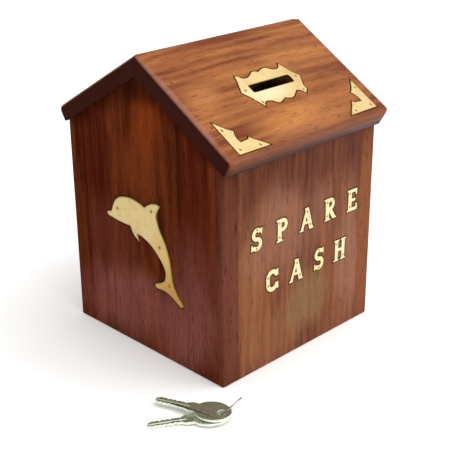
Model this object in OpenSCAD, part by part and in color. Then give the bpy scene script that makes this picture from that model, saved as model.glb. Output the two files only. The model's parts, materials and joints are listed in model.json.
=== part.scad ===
// Wooden money box shaped like a small house: hardwood boards, brass inlay,
// a coin slot in the front roof slope, a hinged door with a cam lock in the
// back wall, and its two keys on a wire ring beside it.
// Frame: +Z up, origin at the centre of the underside, front wall towards -Y,
// ridge along X. Millimetres and degrees.

/* [House] */
// Width along the ridge, over both gable boards
body_w = 127; // [122:1:136]
// Depth over the front and back walls
body_d = 128; // [124:1:136]
// Height of the ridge above the floor
ridge_h = 178; // [172:1:190]
// Slope of the roof
pitch = 31; // [29:0.5:33]
// How far the front eave stands out past the front wall
eave_front = 9.5; // [7:0.5:12]
// How far the rear eave stands out past the back wall
eave_rear = 6.5; // [5:0.5:9]
// How far the roof stands out past each gable
roof_end = 1.5; // [0.5:0.5:3]

/* [Boards] */
// Thickness of the gable boards
gable_t = 12; // [11:0.5:13]
// Thickness of the front and back wall boards
panel_t = 10; // [10:0.5:11]
// Thickness of the roof boards
roof_t = 10; // [9:0.5:12]
// Thickness of the base board
base_t = 8; // [7:0.5:10]

/* [Coin slot] */
// Length of the slot along the ridge
slot_len = 32.6; // [28:0.2:34]
// Width of the slot down the slope
slot_wid = 5.6; // [5.6:0.1:6.2]
// Place of the slot's centre along the ridge
slot_x = 2.7; // [-4:0.1:4]
// Distance of the slot's centre down the slope from the ridge
slot_down = 43; // [40:0.5:46]

/* [Brass inlay] */
// Thickness of the brass sheet
brass_t = 1.5; // [1.2:0.1:1.8]
// How far the brass stands proud of the wood
brass_proud = 0.3; // [0.1:0.1:0.4]
// Width of the dark lac line around each piece of brass
lac_w = 0.5; // [0.4:0.05:0.6]
// Radius of the brass pins that hold the inlay
inlay_pin_r = 0.45; // [0.4:0.05:0.5]

/* [Door] */
// Width of the opening in the back wall
opening_w = 79; // [76:1:80]
// Height of the opening in the back wall
opening_h = 80; // [76:1:82]
// Height of the opening's lower edge above the floor
opening_z = 22; // [20:1:24]
// Thickness of the door
door_t = 9.7; // [9.5:0.1:9.7]
// Gap at the hinge edge
hinge_gap = 0.8; // [0.8:0.1:1]
// Gap at the lock edge, wide enough for the door's swing
latch_gap = 1.4; // [1.4:0.1:1.8]
// Gap above and below the door
door_gap = 1; // [0.8:0.1:1.2]

/* [Hinges] */
// Length of a hinge
hinge_len = 20; // [18:1:24]
// Width of a leaf
leaf_w = 8.6; // [8:0.1:8.8]
// Thickness of a leaf
leaf_t = 1; // [0.9:0.1:1.1]
// Outer radius of a knuckle
knuckle_r = 2; // [1.8:0.1:2]
// Radius of a hinge pin
hinge_pin_r = 1; // [0.8:0.1:1.1]
// Distance of each hinge from the middle of the door
hinge_offset = 23; // [20:1:25]

/* [Cam lock] */
// Radius of the lock's barrel
barrel_r = 8; // [7.5:0.1:8.5]
// Radius of the lock's flange
flange_r = 9.5; // [9.5:0.1:10.5]
// Radius of the plug that the key turns
plug_r = 5; // [4.8:0.1:5.2]
// Length of the cam from the lock's axis
cam_len = 25; // [24:0.5:26]
// Distance of the lock's axis from the door's lock edge
lock_inset = 14; // [13.5:0.5:15]

/* [Keys] */
// Thickness of a key
key_t = 1.6; // [1.4:0.1:1.6]
// Length from the hole to the tip
key_reach = 39.5; // [38:0.5:41]
// Width of the round bow
bow_w = 17.2; // [16.6:0.2:17.4]
// Length of the bow
bow_len = 21; // [20.4:0.2:21.4]
// Width of the blade
blade_w = 4.8; // [4.6:0.1:5]
// Radius of the hole in the bow
key_hole_r = 2.5; // [2.5:0.1:2.7]
// Radius of the ring's wire
wire_r = 0.45; // [0.4:0.05:0.45]
// Radius of the ring at the middle of the wire
ring_r = 7; // [6.8:0.1:7.2]

/* [Hidden] */
$fn = 48;

wood = "saddlebrown";
roof_wood = "peru";
inside_wood = "burlywood";
brass = "goldenrod";
lac = "black";
steel = "silver";
nickel = "darkkhaki";

// House
half_w = body_w / 2;
half_d = body_d / 2;
roof_drop = roof_t / cos(pitch);
apex_z = ridge_h - roof_drop;
wall_top = apex_z - half_d * tan(pitch);
wall_top_inner = apex_z - (half_d - panel_t) * tan(pitch);
inner_w = body_w - 2 * gable_t;
inner_d = body_d - 2 * panel_t;
roof_len = body_w + 2 * roof_end;
slope_front = (half_d + eave_front) / cos(pitch);
slope_rear = (half_d + eave_rear) / cos(pitch);

// Hidden nails, punched under the surface
nail_r = 0.7;
nail_len = 18;
nail_sunk = 1.2;
wall_nail_z = [18, 62, 106];
roof_nail_down = [25, 60];
base_nail_x = [-30, 30];

// Inlay: x runs along the ridge or to the right, y up the slope or up the wall
pocket_depth = brass_t - brass_proud;
lac_sunk = 0.1;
inlay_pin_len = 7;
curve_steps = 3;
slot_corner_r = 1;
letter_h = 14;
serif_h = 1.3;

// Corners of the slot's brass plate with the curves between them, from the right
// point anticlockwise: horns at the four corners, scallops on the long sides
PLATE_CURVES = [
    [[24, 0], [20.4, 4.6], [18.4, 9], [16.3, 12.6]],
    [[16.3, 12.6], [14.8, 10.2], [12.2, 9], [9.4, 9.4], [7.5, 10.4]],
    [[7.5, 10.4], [5.6, 11.8], [3.2, 12], [0.4, 11.2], [-2, 10.2]],
    [[-2, 10.2], [-4, 11.4], [-6.6, 11.2], [-9.4, 9.4], [-13, 8.2], [-16, 9], [-17.4, 11.2]],
    [[-17.4, 11.2], [-19.6, 11.5]],
    [[-19.6, 11.5], [-21.2, 6.8], [-24.6, -0.8]],
    [[-24.6, -0.8], [-21.4, -5.4], [-18.8, -10.4], [-17, -14]],
    [[-17, -14], [-15.8, -12], [-13.4, -10.8], [-10.8, -11.2], [-9, -12]],
    [[-9, -12], [-7.4, -13.6], [-5.2, -14.1], [-2.4, -13.2], [0.3, -12]],
    [[0.3, -12], [3, -13.1], [6.2, -13.2], [9.2, -11.4], [12.6, -9.4], [15.2, -10.8], [17, -13.2]],
    [[17, -13.2], [20, -10.6]],
    [[20, -10.6], [20, -7.6], [21.8, -4], [24, 0]]
];
PLATE_PINS = [[20.5, 0.5], [-20.5, 0], [-16.6, -10.6], [17.2, -10.2]];

// Corner plate: the square corner is at the origin, the two arms lie along the
// axes, and a round bite between two cusps faces the middle of the roof
CORNER_CURVES = [
    [[0, 0], [23.4, 0]],
    [[23.4, 0], [19.4, 4], [16.2, 6.8], [14.2, 9.4]],
    [[14.2, 9.4], [12.4, 7.9], [9.8, 7.7], [7, 7.4]],
    [[7, 7.4], [6.7, 10], [7.4, 12.8], [8.8, 15.2]],
    [[8.8, 15.2], [6, 17.2], [3, 20.6], [0, 24.2]],
    [[0, 24.2], [0, 0]]
];
CORNER_PINS = [[3, 3], [17, 2.2], [2.2, 17.5]];
// Place of each plate's square corner along the ridge and down the slope
corner_left_at = [-55.5, 81];
corner_right_at = [58.5, 79.8];

// Leaping dolphin, from the snout anticlockwise: chin, flipper, belly, two
// flukes, back, back fin and forehead
DOLPHIN_CURVES = [
    [[-32, 78.6], [-30.8, 77.2], [-27.4, 76.6], [-19, 75.8], [-11, 75.8]],
    [[-11, 75.8], [-8.4, 71.4], [-3, 67.8]],
    [[-3, 67.8], [-4.8, 72.6]],
    [[-4.8, 72.6], [0, 71.7], [7, 68.7], [14.3, 62.4], [18.2, 56.4], [17.4, 50.6]],
    [[17.4, 50.6], [13.6, 48.2], [10, 47]],
    [[10, 47], [8.8, 45.2], [10.4, 43.4], [17, 43.6], [22.6, 42.2], [30.6, 37.8]],
    [[30.6, 37.8], [32.8, 38.8], [32.4, 41.2], [28.2, 45.4], [24.6, 52], [23.6, 58]],
    [[23.6, 58], [22.4, 65.2], [19.2, 74], [15.3, 80], [13, 85.4], [12.4, 89.4], [15.8, 95.4]],
    [[15.8, 95.4], [12.4, 96.2], [8.4, 95.3], [4.8, 93.4], [2.2, 91.4]],
    [[2.2, 91.4], [-1.8, 92.8], [-9, 93.8], [-16.4, 93], [-21, 91.2], [-24.2, 88.4],
        [-26.4, 84.4], [-27.8, 81]],
    [[-27.8, 81], [-31.4, 80], [-32, 78.6]]
];
DOLPHIN_PINS = [[-22, 84], [8, 90.5], [14, 70], [21.4, 48.6]];

// Letters: glyph, place of its foot's middle, lean, and the places of its pins
LETTERS = [
    ["S", [-37.5, 75.2], -2, [[0, 12.6], [0, 1.4]]],
    ["P", [-16.6, 74.8], 1, [[-2.3, 11.4], [-2.3, 3]]],
    ["A", [3.6, 75], -1, [[0.3, 11.4], [3.3, 3]]],
    ["R", [24.2, 75.2], 1.5, [[-2.3, 11.4], [-2.3, 3]]],
    ["E", [44.6, 74.9], -1, [[-2.3, 11.4], [-2.3, 3]]],
    ["C", [-24.4, 46.2], 1, [[-3.5, 9.4], [-3.5, 4.6]]],
    ["A", [-4.6, 45.9], -1.5, [[0.3, 11.4], [3.3, 3]]],
    ["S", [15.6, 46.2], 1, [[0, 12.6], [0, 1.4]]],
    ["H", [34.4, 46], -1, [[-3, 11.2], [3, 2.8]]]
];

// Door, in a frame of two stiles and two rails
opening_top = opening_z + opening_h;
door_x0 = -opening_w / 2 + latch_gap;
door_x1 = opening_w / 2 - hinge_gap;
door_z0 = opening_z + door_gap;
door_z1 = opening_top - door_gap;
door_mid_z = (door_z0 + door_z1) / 2;
stop_t = 4;
stop_h = 9;
stop_lap = 5;
stop_len = 66;

// Hinges: the pin's axis stands off the wall
axis_x = opening_w / 2 - hinge_gap / 2;
axis_off = knuckle_r + 0.3;
axis_y = half_d + axis_off;
leaf_gap = knuckle_r + 0.3;
knuckle_split = 3.3;
knuckle_play = 0.2;
pin_play = 0.06;
pin_end = 0.4;
screw_r = 0.9;
screw_head_r = 2;
screw_len = 7;
screw_spread = 6;
screw_out = leaf_gap + 0.58 * leaf_w;
screw_slot_w = 0.5;
screw_slot_d = 0.5;

// Cam lock, through the door's thickness
lock_x = door_x0 + lock_inset;
lock_z = door_mid_z;
flange_t = 2;
nut_t = 3;
nut_af = 22;
nut_r = nut_af / 2 / cos(30);
door_inner_y = half_d - door_t;
barrel_end_y = door_inner_y - nut_t;
plug_play = 0.05;
plug_head_r = plug_r + 1;
plug_head_t = 1.5;
plug_proud = 0.1;
plug_face_y = half_d + flange_t + plug_proud;
cam_t = 1.8;
cam_gap = 0.3;
cam_y = barrel_end_y - cam_gap;
cam_w = 10;
cam_hub_r = 7;
cam_crank = 2.4;
cam_bend = 3;
cam_bend_at = 14;
cam_mitre = cam_t * tan(atan(cam_crank / cam_bend) / 2);
tenon = 6;
keyway_w = 1.9;
keyway_h = 5.4;
keyway_depth = 13;
wafer_count = 4;
wafer_t = 0.8;
wafer_pitch = 2.3;
wafer_inset = 1.2;
wafer_w = 5;
wafer_h = 8.6;
wafer_window = [2.3, 5.9];
washer_r = 4.5;
washer_t = 0.6;
cam_screw_r = 1.6;
cam_screw_len = 6;
cam_screw_head_r = 3.5;
cam_screw_head_t = 2.2;
cam_slot_w = 1;
cam_screw_end = cam_y - cam_t - washer_t + cam_screw_len;

// Keys: the ring lies on the floor and lifts their bows, the lower key's tip
// touches the floor, and the upper key lies along the lower one's top
bow_end = 5;
key_rise = 1.4;
key_tilt = asin(key_rise / key_reach);
key_gap = 0.4;
lower_heading = 147;
upper_heading = 111;
ring_at = [-79.2, -86];
ring_tilt = 50.4;
ring_heading = 102.1;
lower_hole_at = [-84.4, -83.6];
upper_hole_at = [-85.8, -85.8];
ring_z = ring_r * sin(ring_tilt) + wire_r;
shoulder_w = 7.7;
shoulder_len = 3;
shoulder_slope = 2;
tip_len = 2.6;
tip_w = 1.8;
groove_w = 1.2;
groove_d = 0.35;
groove_off = 0.2;
// Depth of each cut in the blade's edges, from the shoulder to the tip
KEY_CUTS = [0.3, 0.9, 0.5, 0.8, 0.3, 0.7];
shoulder_x = bow_len - bow_end + shoulder_len;
blade_x = shoulder_x + shoulder_slope;
cut_pitch = (key_reach - tip_len - blade_x) / len(KEY_CUTS);

// ---- Curves ----

// A point between b and c on the smooth curve through a, b, c, d
function between(a, b, c, d, t) =
    0.5 * (2 * b + (c - a) * t + (2 * a - 5 * b + 4 * c - d) * t * t
        + (3 * b - a - 3 * c + d) * t * t * t);

// The points of one smooth curve, without its last
function curve(p) =
    let (last = len(p) - 1, steps = last > 1 ? curve_steps : 1)
    [for (i = [0 : last - 1], j = [0 : steps - 1])
        between(p[max(i - 1, 0)], p[i], p[i + 1], p[min(i + 2, last)], j / steps)];

// A closed outline of curves that meet at corners
function outline(curves) = [for (c = curves) each curve(c)];

// The outward normal of the edge from a to b
function edge_normal(a, b) = [b[1] - a[1], a[0] - b[0]] / norm(b - a);

// The same outline grown by g all round, with mitred corners that are kept short
function grown(p, g) =
    let (n = len(p))
    [for (i = [0 : n - 1])
        let (before = edge_normal(p[(i + n - 1) % n], p[i]),
            after = edge_normal(p[i], p[(i + 1) % n]),
            mitre = (before + after) / norm(before + after))
        p[i] + mitre * g / max(mitre * before, 0.5)];

// ---- Where things lie ----

// On the front roof slope: x along the ridge, y up the slope from the ridge
module on_roof_front() {
    translate([0, 0, ridge_h]) rotate([pitch, 0, 0]) children();
}

module on_roof_rear() {
    mirror([0, 1, 0]) on_roof_front() children();
}

// On the front wall: x to the right, y up, z out of the wall
module on_front() {
    translate([0, -half_d, 0]) rotate([90, 0, 0]) children();
}

// On the left gable, as it is looked at: x to the right, y up, z out of it
module on_gable() {
    translate([-half_w, 0, 0]) rotate([90, 0, -90]) children();
}

// A prism along X with its outline in the YZ plane
module along_x(length) {
    translate([-length / 2, 0, 0]) rotate([90, 0, 90]) linear_extrude(length) children();
}

// ---- Inlay ----

// A sheet cut to the outline below it, its face proud of the surface
module inlaid() {
    translate([0, 0, -pocket_depth]) linear_extrude(brass_t) children();
}

// The recess that the sheet and its lac line fill
module recess() {
    translate([0, 0, -pocket_depth]) linear_extrude(pocket_depth + 1) children();
}

// The lac line's height in the recess
module lac_line() {
    translate([0, 0, -pocket_depth]) linear_extrude(pocket_depth - lac_sunk) children();
}

module inlay_pins(places) {
    for (p = places) {
        translate([p[0], p[1], brass_proud - inlay_pin_len])
            cylinder(r = inlay_pin_r, h = inlay_pin_len);
    }
}

module slot_shape(g) {
    w = slot_wid / 2 - slot_corner_r;
    l = slot_len / 2 - slot_corner_r;
    translate([-slot_len / 2 - g, -w]) square([slot_len + 2 * g, 2 * w]);
    translate([-l, -slot_wid / 2 - g]) square([2 * l, slot_wid + 2 * g]);
    for (x = [-l, l], y = [-w, w]) {
        translate([x, y]) circle(r = slot_corner_r + g);
    }
}

module at_slot() {
    translate([slot_x, -slot_down, 0]) children();
}

module at_corner_left() {
    translate([corner_left_at[0], -corner_left_at[1], 0]) children();
}

module at_corner_right() {
    translate([corner_right_at[0], -corner_right_at[1], 0]) mirror([1, 0, 0]) children();
}

module plate_shape(g) {
    polygon(grown(outline(PLATE_CURVES), g));
}

module corner_shape(g) {
    polygon(grown(outline(CORNER_CURVES), g));
}

module dolphin_shape(g) {
    polygon(grown(outline(DOLPHIN_CURVES), g));
}

// ---- Letters: capitals of straight strokes and round bowls, foot at y = 0 ----

module stroke_box(x0, x1, y0, y1, g) {
    translate([x0 - g, y0 - g]) square([x1 - x0 + 2 * g, y1 - y0 + 2 * g]);
}

// A slanting stroke of width w from a to b
module slant(a, b, w, g) {
    run = b - a;
    translate(a) rotate(atan2(run[1], run[0])) translate([-g, -w / 2 - g])
        square([norm(run) + 2 * g, w + 2 * g]);
}

// Part of a ring, from angle a0 to angle a1
module bowl(r_out, r_in, a0, a1, g) {
    grow = g / (r_out + r_in) * 2 * 180 / PI;
    from = a0 - grow;
    sweep = a1 - a0 + 2 * grow;
    steps = 6;
    intersection() {
        difference() {
            circle(r = r_out + g);
            circle(r = r_in - g);
        }
        polygon(concat([[0, 0]], [for (i = [0 : steps])
            2 * r_out * [cos(from + sweep * i / steps), sin(from + sweep * i / steps)]]));
    }
}

// Foot or head serif
module serif(x0, x1, y, g) {
    stroke_box(x0, x1, y, y + serif_h, g);
}

module glyph_s(g) {
    stroke = 2.8;
    upper = 4.1;
    lower = 4.3;
    translate([0, letter_h - upper]) bowl(upper, upper - stroke, 20, 270, g);
    translate([0, lower]) bowl(lower, lower - stroke, 200, 450, g);
    stroke_box(2.8, 4.2, 9.6, 13.6, g);
    stroke_box(-4.4, -3, 0.4, 4.5, g);
}

module glyph_c(g) {
    outer = 5.2;
    inner = 2.1;
    difference() {
        union() {
            translate([0, outer]) circle(r = outer + g);
            translate([0, letter_h - outer]) circle(r = outer + g);
            stroke_box(-outer, outer, outer, letter_h - outer, g);
        }
        translate([0, outer]) circle(r = inner - g);
        translate([0, letter_h - outer]) circle(r = inner - g);
        stroke_box(-inner, inner, outer, letter_h - outer, -g);
        stroke_box(0, outer + 3, outer, letter_h - outer, -g);
    }
    stroke_box(3.6, 5, 9, 13.4, g);
    stroke_box(3.6, 5, 0.6, 5, g);
}

module glyph_p(g) {
    stroke_box(-4, -0.6, 0, letter_h, g);
    serif(-5, 0.6, 0, g);
    serif(-5, -1, letter_h - serif_h, g);
    stroke_box(-1, 0.3, 11.3, letter_h, g);
    stroke_box(-1, 0.3, 5.8, 8.5, g);
    translate([0.3, 9.9]) bowl(4.1, 1.4, -90, 90, g);
}

module glyph_r(g) {
    glyph_p(g);
    serif(2.2, 5.8, 0, g);
    intersection() {
        slant([-0.6, 8], [4.2, -0.4], 3.1, g);
        stroke_box(-1, 7, 0, 8.4, g);
    }
}

module glyph_a(g) {
    intersection() {
        union() {
            slant([0.7, 14.6], [-4.4, -0.4], 2.4, g);
            slant([-0.5, 14.6], [4.3, -0.4], 3.4, g);
        }
        stroke_box(-8, 8, 0, letter_h, g);
    }
    stroke_box(-3, 3, 3.8, 5.8, g);
    serif(-6, -2.4, 0, g);
    serif(2, 6.2, 0, g);
}

module glyph_e(g) {
    stroke_box(-4, -0.6, 0, letter_h, g);
    serif(-5, 0, 0, g);
    serif(-5, 0, letter_h - serif_h, g);
    stroke_box(-1, 4, 11.6, letter_h, g);
    stroke_box(2.7, 4.2, 9.7, letter_h, g);
    stroke_box(-1, 2.8, 5.9, 8.1, g);
    stroke_box(-1, 4.4, 0, 2.4, g);
    stroke_box(3.1, 4.6, 0, 4.4, g);
}

module glyph_h(g) {
    for (side = [-1, 1]) {
        stroke_box(side * 3 - 1.6, side * 3 + 1.6, 0, letter_h, g);
        serif(side * 3 - 2.6, side * 3 + 2.4, 0, g);
        serif(side * 3 - 2.4, side * 3 + 2.6, letter_h - serif_h, g);
    }
    stroke_box(-2, 2, 6, 8.2, g);
}

module glyph(name, g) {
    if (name == "S") glyph_s(g);
    if (name == "C") glyph_c(g);
    if (name == "P") glyph_p(g);
    if (name == "R") glyph_r(g);
    if (name == "A") glyph_a(g);
    if (name == "E") glyph_e(g);
    if (name == "H") glyph_h(g);
}

module at_letter(l) {
    translate([l[1][0], l[1][1], 0]) rotate([0, 0, l[2]]) children();
}

module letter(i) {
    l = LETTERS[i];
    color(brass) on_front() at_letter(l) difference() {
        inlaid() glyph(l[0], 0);
        inlay_pins(l[3]);
    }
}

module letter_pins() {
    color(brass) on_front() for (l = LETTERS) {
        at_letter(l) inlay_pins(l[3]);
    }
}

module front_filler() {
    color(lac) on_front() for (l = LETTERS) {
        at_letter(l) difference() {
            lac_line() glyph(l[0], lac_w);
            inlaid() glyph(l[0], 0);
        }
    }
}

// ---- Nails ----

module nail() {
    cylinder(r = nail_r, h = nail_len);
}

// Nails through the gable on one side into the front wall and the back stile
module gable_nails(side) {
    for (y = [-1, 1], z = wall_nail_z) {
        translate([side * (half_w - nail_sunk), y * (half_d - panel_t / 2), z])
            rotate([0, -side * 90, 0]) nail();
    }
}

// Nails through a roof slope into both gable boards
module slope_nails() {
    for (x = [-1, 1], down = roof_nail_down) {
        translate([x * (half_w - gable_t / 2), -down, -nail_sunk - nail_len]) nail();
    }
}

// Nails through the front (-1) or back (1) wall into the base
module wall_base_nails(side) {
    for (x = base_nail_x) {
        translate([x, side * (half_d - nail_sunk), base_t / 2])
            rotate([side * 90, 0, 0]) nail();
    }
}

module wall_pins() {
    color(steel) {
        gable_nails(-1);
        gable_nails(1);
    }
}

module roof_pins() {
    color(steel) {
        on_roof_front() slope_nails();
        on_roof_rear() slope_nails();
    }
}

module base_pins() {
    color(steel) {
        wall_base_nails(-1);
        wall_base_nails(1);
    }
}

// ---- Boards ----

// Five-sided end wall: the front and back boards stand between the two gables
module gable(side) {
    difference() {
        translate([side * (half_w - gable_t / 2), 0, 0]) along_x(gable_t)
            polygon([[-half_d, 0], [half_d, 0], [half_d, wall_top], [0, apex_z],
                [-half_d, wall_top]]);
        gable_nails(side);
        on_roof_front() slope_nails();
        on_roof_rear() slope_nails();
    }
}

module gable_left() {
    color(wood) difference() {
        gable(-1);
        on_gable() recess() dolphin_shape(lac_w);
        on_gable() inlay_pins(DOLPHIN_PINS);
    }
}

module gable_right() {
    color(wood) gable(1);
}

// Wall board with its top bevelled to the roof, front (-1) or back (1)
module wall_board(side, x0, x1) {
    translate([(x0 + x1) / 2, 0, 0]) along_x(x1 - x0)
        polygon([[side * half_d, 0], [side * (half_d - panel_t), 0],
            [side * (half_d - panel_t), wall_top_inner], [side * half_d, wall_top]]);
}

module front_panel() {
    color(wood) difference() {
        wall_board(-1, -inner_w / 2, inner_w / 2);
        on_front() for (l = LETTERS) {
            at_letter(l) recess() glyph(l[0], lac_w);
            at_letter(l) inlay_pins(l[3]);
        }
        gable_nails(-1);
        gable_nails(1);
        wall_base_nails(-1);
    }
}

module back_stile_hinge() {
    color(wood) difference() {
        wall_board(1, opening_w / 2, inner_w / 2);
        gable_nails(1);
        hinge_screws(1);
    }
}

module back_stile_lock() {
    color(wood) difference() {
        wall_board(1, -inner_w / 2, -opening_w / 2);
        gable_nails(-1);
    }
}

module back_rail_top() {
    color(wood) intersection() {
        wall_board(1, -opening_w / 2, opening_w / 2);
        translate([-opening_w / 2, 0, opening_top]) cube([opening_w, half_d, ridge_h]);
    }
}

module back_rail_bottom() {
    color(wood) difference() {
        translate([-opening_w / 2, half_d - panel_t, 0]) cube([opening_w, panel_t, opening_z]);
        wall_base_nails(1);
    }
}

module base_panel() {
    color(inside_wood) difference() {
        translate([-inner_w / 2, -inner_d / 2, 0]) cube([inner_w, inner_d, base_t]);
        wall_base_nails(-1);
        wall_base_nails(1);
    }
}

// Roof board in its slope's frame, mitred on a plumb line at the ridge
module roof_board(slope) {
    along_x(roof_len)
        polygon([[0, 0], [-slope, 0], [-slope, -roof_t], [-roof_t * tan(pitch), -roof_t]]);
}

module roof_front() {
    color(roof_wood) on_roof_front() difference() {
        roof_board(slope_front);
        at_slot() recess() plate_shape(lac_w);
        at_slot() translate([0, 0, -roof_t - 1]) linear_extrude(roof_t + 2) slot_shape(0);
        at_slot() inlay_pins(PLATE_PINS);
        at_corner_left() recess() corner_shape(lac_w);
        at_corner_left() inlay_pins(CORNER_PINS);
        at_corner_right() recess() corner_shape(lac_w);
        at_corner_right() inlay_pins(CORNER_PINS);
        slope_nails();
    }
}

module roof_rear() {
    color(roof_wood) on_roof_rear() difference() {
        roof_board(slope_rear);
        slope_nails();
    }
}

// ---- Brass on the roof and on the left gable ----

module slot_plate() {
    color(brass) on_roof_front() at_slot() difference() {
        inlaid() plate_shape(0);
        translate([0, 0, -brass_t]) linear_extrude(2 * brass_t) slot_shape(0);
        inlay_pins(PLATE_PINS);
    }
}

module corner_plate() {
    difference() {
        inlaid() corner_shape(0);
        inlay_pins(CORNER_PINS);
    }
}

module corner_plate_left() {
    color(brass) on_roof_front() at_corner_left() corner_plate();
}

module corner_plate_right() {
    color(brass) on_roof_front() at_corner_right() corner_plate();
}

module roof_plate_pins() {
    color(brass) on_roof_front() {
        at_slot() inlay_pins(PLATE_PINS);
        at_corner_left() inlay_pins(CORNER_PINS);
        at_corner_right() inlay_pins(CORNER_PINS);
    }
}

module roof_filler() {
    color(lac) on_roof_front() {
        at_slot() difference() {
            lac_line() plate_shape(lac_w);
            inlaid() plate_shape(0);
        }
        at_corner_left() difference() {
            lac_line() corner_shape(lac_w);
            inlaid() corner_shape(0);
        }
        at_corner_right() difference() {
            lac_line() corner_shape(lac_w);
            inlaid() corner_shape(0);
        }
    }
}

module dolphin_inlay() {
    color(brass) on_gable() difference() {
        inlaid() dolphin_shape(0);
        inlay_pins(DOLPHIN_PINS);
    }
}

module dolphin_pins() {
    color(brass) on_gable() inlay_pins(DOLPHIN_PINS);
}

module gable_filler() {
    color(lac) on_gable() difference() {
        lac_line() dolphin_shape(lac_w);
        inlaid() dolphin_shape(0);
    }
}

// ---- Door and hinges ----

// A cylinder along Y from y0 to y1 on the lock's axis
module lock_round(r, y0, y1) {
    translate([lock_x, y0, lock_z]) rotate([-90, 0, 0]) cylinder(r = r, h = y1 - y0);
}

module door() {
    color(wood) difference() {
        translate([door_x0, door_inner_y, door_z0])
            cube([door_x1 - door_x0, door_t, door_z1 - door_z0]);
        lock_round(barrel_r, door_inner_y - 1, half_d + 1);
        hinge_screws(-1);
    }
}

// Strip glued inside the wall that the shut door comes up against
module door_stop(z) {
    color(inside_wood) translate([-stop_len / 2, half_d - panel_t - stop_t, z])
        cube([stop_len, stop_t, stop_h]);
}

module door_stop_top() {
    door_stop(door_z1 - stop_lap);
}

module door_stop_bottom() {
    door_stop(door_z0 + stop_lap - stop_h);
}

module at_hinge(end) {
    translate([axis_x, axis_y, door_mid_z + end * hinge_offset]) children();
}

// One countersunk screw, its head flush with the leaf's face
module hinge_screw() {
    rotate([90, 0, 0]) {
        translate([0, 0, leaf_t]) cylinder(r = screw_r, h = screw_len);
        cylinder(r1 = screw_head_r, r2 = screw_r, h = leaf_t);
    }
}

// All the screws of the frame leaves (1) or of the door leaves (-1)
module hinge_screws(side) {
    for (end = [-1, 1], z = [-1, 1]) {
        at_hinge(end) translate([side * screw_out, leaf_t - axis_off,
            z * screw_spread]) hinge_screw();
    }
}

// Each screw stops with its slot at another angle
function slot_angle(end, z) = 20 + 50 * z + 30 * end;

module slotted_screws(side) {
    color(brass) difference() {
        hinge_screws(side);
        for (end = [-1, 1], z = [-1, 1]) {
            at_hinge(end) translate([side * screw_out, leaf_t - axis_off,
                z * screw_spread]) rotate([0, slot_angle(end, z), 0])
                translate([-screw_head_r - 1, -screw_slot_d, -screw_slot_w / 2])
                cube([2 * screw_head_r + 2, 2 * screw_slot_d, screw_slot_w]);
        }
    }
}

module hinge_screws_frame() {
    slotted_screws(1);
}

module hinge_screws_door() {
    slotted_screws(-1);
}

// A leaf and its knuckles. side 1 is the frame leaf and -1 the door leaf;
// each pair in knuckles is a knuckle's lower and upper end
module hinge_leaf(end, side, knuckles, bore_r) {
    color(brass) difference() {
        at_hinge(end) difference() {
            union() {
                translate([side > 0 ? leaf_gap : -leaf_gap - leaf_w, -axis_off, -hinge_len / 2])
                    cube([leaf_w, leaf_t, hinge_len]);
                for (k = knuckles) {
                    translate([side > 0 ? 0 : -leaf_gap - 1, -axis_off, k[0]])
                        cube([leaf_gap + 1, leaf_t, k[1] - k[0]]);
                    translate([0, 0, k[0]]) cylinder(r = knuckle_r, h = k[1] - k[0]);
                }
            }
            translate([0, 0, -hinge_len]) cylinder(r = bore_r, h = 2 * hinge_len);
        }
        hinge_screws(side);
    }
}

module frame_leaf(end) {
    hinge_leaf(end, 1, [[-hinge_len / 2, -knuckle_split], [knuckle_split, hinge_len / 2]],
        hinge_pin_r);
}

module door_leaf(end) {
    hinge_leaf(end, -1, [[knuckle_play - knuckle_split, knuckle_split - knuckle_play]],
        hinge_pin_r + pin_play);
}

module hinge_pin(end) {
    color(brass) at_hinge(end) translate([0, 0, -hinge_len / 2 - pin_end])
        cylinder(r = hinge_pin_r, h = hinge_len + 2 * pin_end);
}

// ---- Cam lock ----

module lock_body() {
    color(steel) difference() {
        union() {
            lock_round(flange_r, half_d, half_d + flange_t);
            lock_round(barrel_r, barrel_end_y, half_d + flange_t / 2);
        }
        lock_round(plug_r + plug_play, barrel_end_y - 1, half_d + flange_t + 1);
        lock_round(plug_head_r + plug_play, plug_face_y - plug_head_t - plug_play,
            half_d + flange_t + 1);
    }
}

module lock_nut() {
    color(steel) difference() {
        translate([lock_x, barrel_end_y, lock_z]) rotate([-90, 0, 0])
            cylinder(r = nut_r, h = nut_t, $fn = 6);
        lock_round(barrel_r, barrel_end_y - 1, half_d);
    }
}

function wafer_y(i) = plug_face_y - plug_head_t - wafer_inset - i * wafer_pitch;

module lock_plug() {
    color(steel) difference() {
        union() {
            lock_round(plug_head_r, plug_face_y - plug_head_t, plug_face_y);
            lock_round(plug_r, cam_y, plug_face_y - plug_head_t / 2);
            translate([lock_x - tenon / 2, cam_y - cam_t, lock_z - tenon / 2])
                cube([tenon, cam_t + 1, tenon]);
        }
        translate([lock_x - keyway_w / 2, plug_face_y - keyway_depth, lock_z - keyway_h / 2])
            cube([keyway_w, keyway_depth + 1, keyway_h]);
        for (i = [0 : wafer_count - 1]) {
            translate([lock_x - wafer_w / 2, wafer_y(i) - wafer_t, lock_z - plug_r - 1])
                cube([wafer_w, wafer_t, 2 * plug_r + 2]);
        }
        lock_round(cam_screw_r, cam_y - cam_t - 1, cam_screw_end);
    }
}

// Sprung plates that the key lines up, here drawn back into the plug
module lock_wafers() {
    color(brass) for (i = [0 : wafer_count - 1]) {
        translate([lock_x, wafer_y(i) - wafer_t, lock_z]) difference() {
            translate([-wafer_w / 2, 0, -wafer_h / 2]) cube([wafer_w, wafer_t, wafer_h]);
            translate([-wafer_window[0] / 2, -1, -wafer_window[1] / 2])
                cube([wafer_window[0], wafer_t + 2, wafer_window[1]]);
        }
    }
}

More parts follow.
